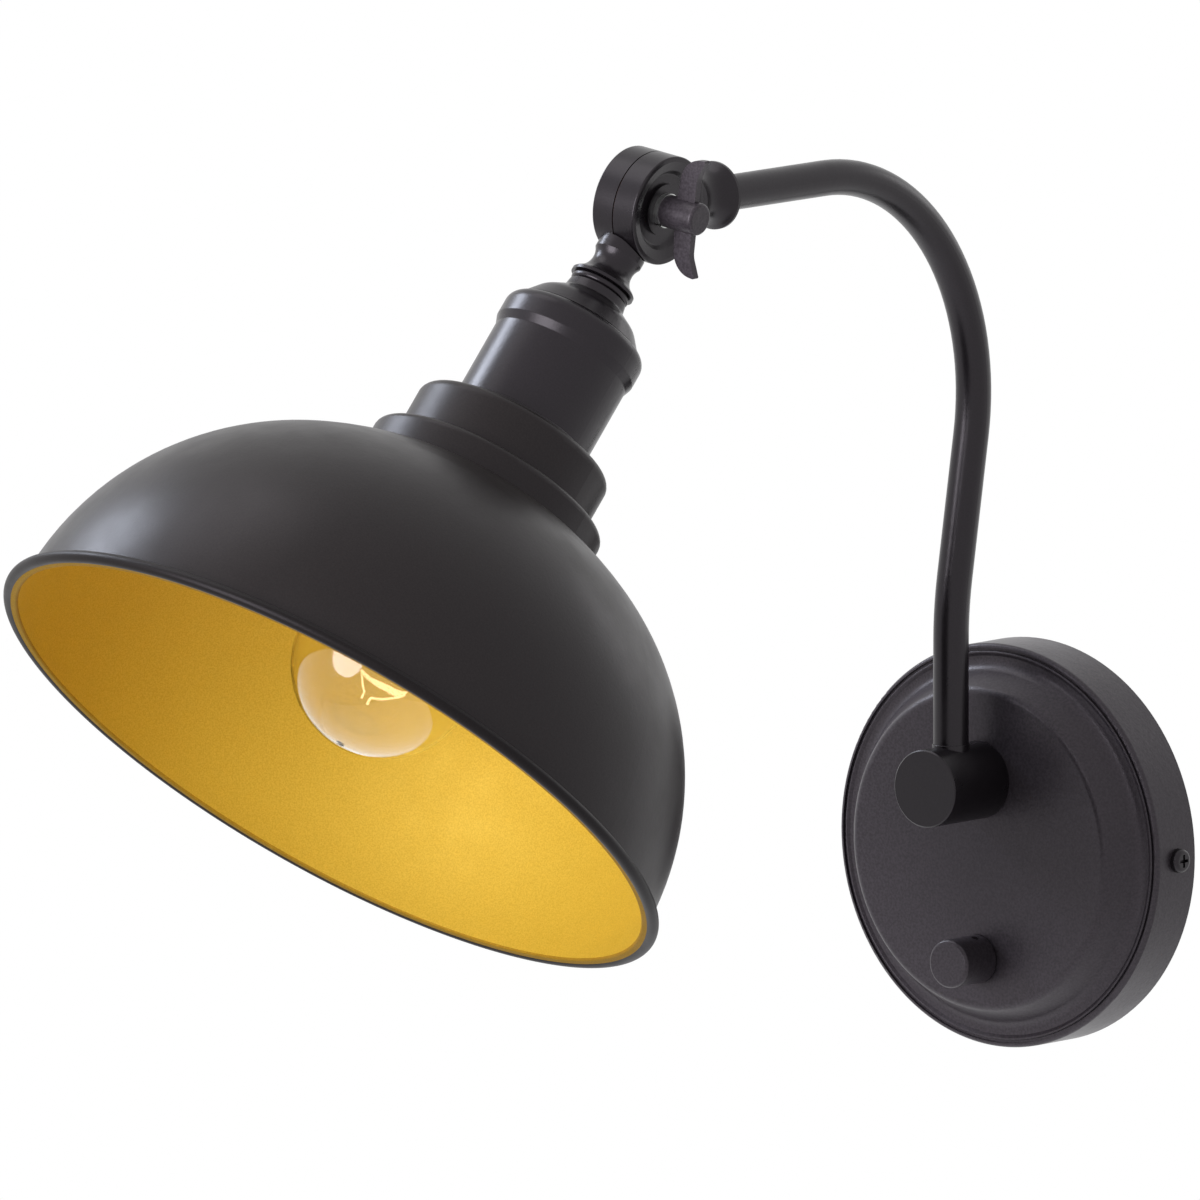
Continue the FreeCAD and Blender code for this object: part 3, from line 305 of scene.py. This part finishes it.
def roll_point(rim, axis, turn, across):
    """A point of the rolled rim at shares of a turn round the axis and round the tube."""
    side = axis.orthogonal().normalized()
    round_rim = Matrix.Rotation(turn * math.tau, 3, axis) @ side
    angle = across * math.tau
    radius = ROLL_RING_RADIUS + ROLL_TUBE_RADIUS * math.cos(angle)
    height = ROLL_HEIGHT + ROLL_TUBE_RADIUS * math.sin(angle)
    return rim + round_rim * radius + axis * height


def rolled_rim(material):
    """Smooth ring over the rolled rim of the shade."""
    rim, axis = rim_and_axis()
    rounds, across = ROLL_STEPS_ROUND, ROLL_STEPS_ACROSS
    points = [roll_point(rim, axis, i / rounds, j / across)
              for i in range(rounds) for j in range(across)]
    quads = [(i * across + j, (i + 1) % rounds * across + j,
              (i + 1) % rounds * across + (j + 1) % across, i * across + (j + 1) % across)
             for i in range(rounds) for j in range(across)]
    mesh = bpy.data.meshes.new("rim_roll")
    mesh.from_pydata(points, [], quads)
    mesh.shade_smooth()
    mesh.materials.append(material)
    roll = bpy.data.objects.new("rim_roll", mesh)
    bpy.context.scene.collection.objects.link(roll)
    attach(roll, "head")


def dress_coated():
    """Black coating of the arm and head, and a coarser, paler one of the canopy and knob, which
    also paints sheen on the wing nut and swivel bolt.
    """
    dress(COATED, powder_coat(
        "black_coat", ((0.0070, 0.0056, 0.0071), (0.0105, 0.0085, 0.0106)),
        roughness=(0.26, 0.33), level=0.95))
    # Paler coat: the canopy's own paint, and painted sheen on the wing nut and swivel bolt.
    dress(PALE_COAT_AND_PAINTED_SHEEN, powder_coat(
        "canopy_coat_and_sheen", ((0.0430, 0.0360, 0.0430), (0.0740, 0.0630, 0.0745)),
        roughness=(0.32, 0.38), level=0.95, grain=0.75 * MM, height=0.030 * MM))


def paint_shade():
    """Brownish black outside, gold inside, a darker gold on the flange and a darker, duller black
    on the rolled rim, both as painted shade.
    """
    outside = powder_coat(
        "shade_coat", ((0.0075, 0.0058, 0.0052), (0.0125, 0.0100, 0.0092)),
        roughness=(0.34, 0.41), level=0.75)
    inside = gold_paint(
        "shade_gold", ((0.560, 0.385, 0.035), (0.660, 0.470, 0.054)), level=0.6)
    # The flange's gold is darker and duller than the wall's: painted shade on the flange.
    flange = gold_paint(
        "shaded_flange_gold", ((0.330, 0.180, 0.014), (0.420, 0.240, 0.018)), level=0.2)
    dress_shade(outside, inside, flange)
    # A darker, less glossy copy of the shade's coat on the rolled rim: painted shade.
    rolled_rim(powder_coat(
        "shaded_rim_coat", ((0.0065, 0.0052, 0.0050), (0.0100, 0.0080, 0.0078)),
        roughness=(0.38, 0.45), level=0.45))


def dress_metals():
    """Plated steel, brass and nickel."""
    dress(ZINC, plated_metal("zinc", ((0.50, 0.51, 0.50), (0.66, 0.67, 0.66)), 0.34))
    dress(BRASS, plated_metal("brass", ((0.62, 0.42, 0.16), (0.78, 0.56, 0.25)), 0.28))
    dress(["bulb_cap", "bulb_contact"],
          plated_metal("nickel", ((0.66, 0.65, 0.62), (0.80, 0.79, 0.76)), 0.24))


def dress_mouldings():
    """Plastic of the holder, ring, switch and terminal block, and fibre in the swivel."""
    dress(["lamp_holder"], moulded("thermoset", BLACK_PLASTIC, 0.42))
    dress(["shade_ring"], moulded("ring_black", BLACK_PLASTIC, 0.5))
    dress(["switch_body"],
          moulded("switch_black", ((0.02, 0.02, 0.024), (0.03, 0.03, 0.035)), 0.4))
    dress(["terminal_block"], moulded("nylon", ((0.70, 0.68, 0.62), (0.78, 0.76, 0.71)), 0.5))
    dress(["friction_ring"], moulded("fibre", ((0.05, 0.02, 0.012), (0.08, 0.035, 0.02)), 0.7))


def dress_wires():
    """Black cable, brown wires and the earth wire in green and yellow."""
    dress(["arm_cable", "head_cable"], moulded("flex", BLACK_PLASTIC, 0.5))
    dress(["switch_wires"],
          moulded("wire_brown", ((0.10, 0.035, 0.015), (0.14, 0.05, 0.02)), 0.42))
    dress(["earth_wire"],
          striped_sheath("wire_earth", ((0.05, 0.25, 0.03), (0.72, 0.60, 0.02)), 6 * MM))


def dress_bulb():
    """Glass, insulator and glowing filament."""
    dress(["bulb_glass"], clear_glass("bulb_clear", (1.0, 0.995, 0.98), 0.12 * MM))
    dress(["bulb_stem"], clear_glass("stem_clear", (0.98, 0.98, 0.96), 0.05 * MM))
    dress(["bulb_insulator"],
          moulded("black_glass", ((0.006, 0.006, 0.01), (0.01, 0.01, 0.015)), 0.12))
    dress(["bulb_filament"], filament_wire("tungsten", 14.0))


def dress_all():
    """Materials of every node."""
    dress_coated()
    paint_shade()
    dress_metals()
    dress_mouldings()
    dress_wires()
    dress_bulb()


def direction_to(azimuth_deg, elevation_deg):
    """The direction from the lamp to a viewer or light at these angles."""
    azimuth, elevation = math.radians(azimuth_deg), math.radians(elevation_deg)
    return Vector((math.sin(azimuth) * math.cos(elevation),
                   -math.cos(azimuth) * math.cos(elevation), math.sin(elevation)))


def camera_axes():
    """The camera's right, up and backward directions in the lamp's frame."""
    azimuth = math.radians(VIEW_AZIMUTH_DEG)
    right = Vector((math.cos(azimuth), math.sin(azimuth), 0))
    back = direction_to(VIEW_AZIMUTH_DEG, VIEW_ELEVATION_DEG)
    return right, back.cross(right), back


def photo_point(x_px, y_px):
    """The point of the view plane through the origin that lies at a place of the photograph."""
    right, up, _ = camera_axes()
    return (right * (x_px - ORIGIN_PX[0]) + up * (ORIGIN_PX[1] - y_px)) / PX_PER_METRE


def make_camera():
    """Long lens at the photograph's angle, with its middle at the photograph's middle."""
    right, up, back = camera_axes()
    data = bpy.data.cameras.new("camera")
    data.sensor_width = SENSOR_WIDTH_MM
    data.lens = PX_PER_METRE * VIEW_DISTANCE * SENSOR_WIDTH_MM / PHOTO_SIDE_PX
    camera = bpy.data.objects.new("camera", data)
    target = photo_point(PHOTO_SIDE_PX / 2, PHOTO_SIDE_PX / 2)
    turn = Matrix((right, up, back)).transposed().to_4x4()
    camera.matrix_world = Matrix.Translation(target + back * VIEW_DISTANCE) @ turn
    bpy.context.scene.collection.objects.link(camera)
    bpy.context.scene.camera = camera
    return target


def soft_light(name, target, turn_deg, elevation_deg, distance, width, power,
               colour=(1.0, 1.0, 1.0)):
    """Round area lamp that faces the target, turned from the camera's side by the given angle."""
    direction = direction_to(VIEW_AZIMUTH_DEG + turn_deg, elevation_deg)
    data = bpy.data.lights.new(name, "AREA")
    data.shape = "DISK"
    data.size = width
    data.energy = power
    data.color = colour
    lamp = bpy.data.objects.new(name, data)
    lamp.location = target + direction * distance
    lamp.rotation_euler = direction.to_track_quat("Z", "Y").to_euler()
    bpy.context.scene.collection.objects.link(lamp)


def light_the_room(target):
    """A large soft light from the front left, smaller ones from the left, above and the right."""
    soft_light("key", target, turn_deg=-44, elevation_deg=12, distance=1.6, width=1.05,
               power=20.0, colour=COOL)
    soft_light("left", target, turn_deg=-118, elevation_deg=34, distance=1.4, width=0.48,
               power=8.0, colour=BLUE)
    soft_light("top", target, turn_deg=-95, elevation_deg=66, distance=1.6, width=1.0, power=3.0)
    soft_light("right", target, turn_deg=128, elevation_deg=16, distance=1.4, width=0.5,
               power=0.6)


def light_the_bulb():
    """Faint warm glow of the filament, which moves with the head."""
    data = bpy.data.lights.new("glow", "POINT")
    data.energy = 0.09
    data.color = GLOW
    data.shadow_soft_size = 8 * MM
    lamp = bpy.data.objects.new("glow", data)
    lamp.location = centre_of("bulb_filament")
    lamp.visible_glossy = False
    lamp.visible_transmission = False
    bpy.context.scene.collection.objects.link(lamp)
    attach(lamp, "head")


def sees_background(tree):
    """One where the ray comes from the camera, a mirror or glass, and nothing elsewhere."""
    path = node(tree, "ShaderNodeLightPath")
    total = path.outputs["Is Camera Ray"]
    for name in ("Is Glossy Ray", "Is Transmission Ray"):
        either = node(tree, "ShaderNodeMath", operation="MAXIMUM")
        tree.links.new(total, either.inputs[0])
        tree.links.new(path.outputs[name], either.inputs[1])
        total = either.outputs[0]
    return total


def pale_world():
    """White where it is seen, and a weaker even light where it lights."""
    world = bpy.data.worlds.new("world")
    bpy.context.scene.world = world
    world.use_nodes = True
    tree = world.node_tree
    background = tree.nodes["Background"]
    background.inputs["Color"].default_value = WHITE
    strength = node(tree, "ShaderNodeMapRange")
    socket_values(strength, To_Min=AMBIENT_SHARE, To_Max=1.0)
    tree.links.new(sees_background(tree), strength.inputs["Value"])
    tree.links.new(strength.outputs["Result"], background.inputs["Strength"])


def pale_floor():
    """Large pale floor below the lamp, as white as the background where it is seen."""
    material, tree, shader = surface("floor_pale", Base_Color=PALE, Roughness=0.9,
                                     Specular_IOR_Level=0.1, Emission_Color=WHITE)
    glow = node(tree, "ShaderNodeMath", operation="MULTIPLY")
    glow.inputs[1].default_value = 1 - AMBIENT_SHARE * PALE[0]
    tree.links.new(sees_background(tree), glow.inputs[0])
    tree.links.new(glow.outputs[0], shader.inputs["Emission Strength"])
    mesh = bpy.data.meshes.new("floor")
    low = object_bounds()[0][2] - FLOOR_DROP
    side = STAGE_HALF_SIDE
    corners = [(-side, -side, low), (side, -side, low), (side, side, low), (-side, side, low)]
    mesh.from_pydata(corners, [], [(0, 1, 2, 3)])
    mesh.materials.append(material)
    floor = bpy.data.objects.new("floor", mesh)
    bpy.context.scene.collection.objects.link(floor)


bpy.context.scene.view_settings.view_transform = "Standard"
dress_all()
light_the_room(make_camera())
light_the_bulb()
pale_world()
pale_floor()
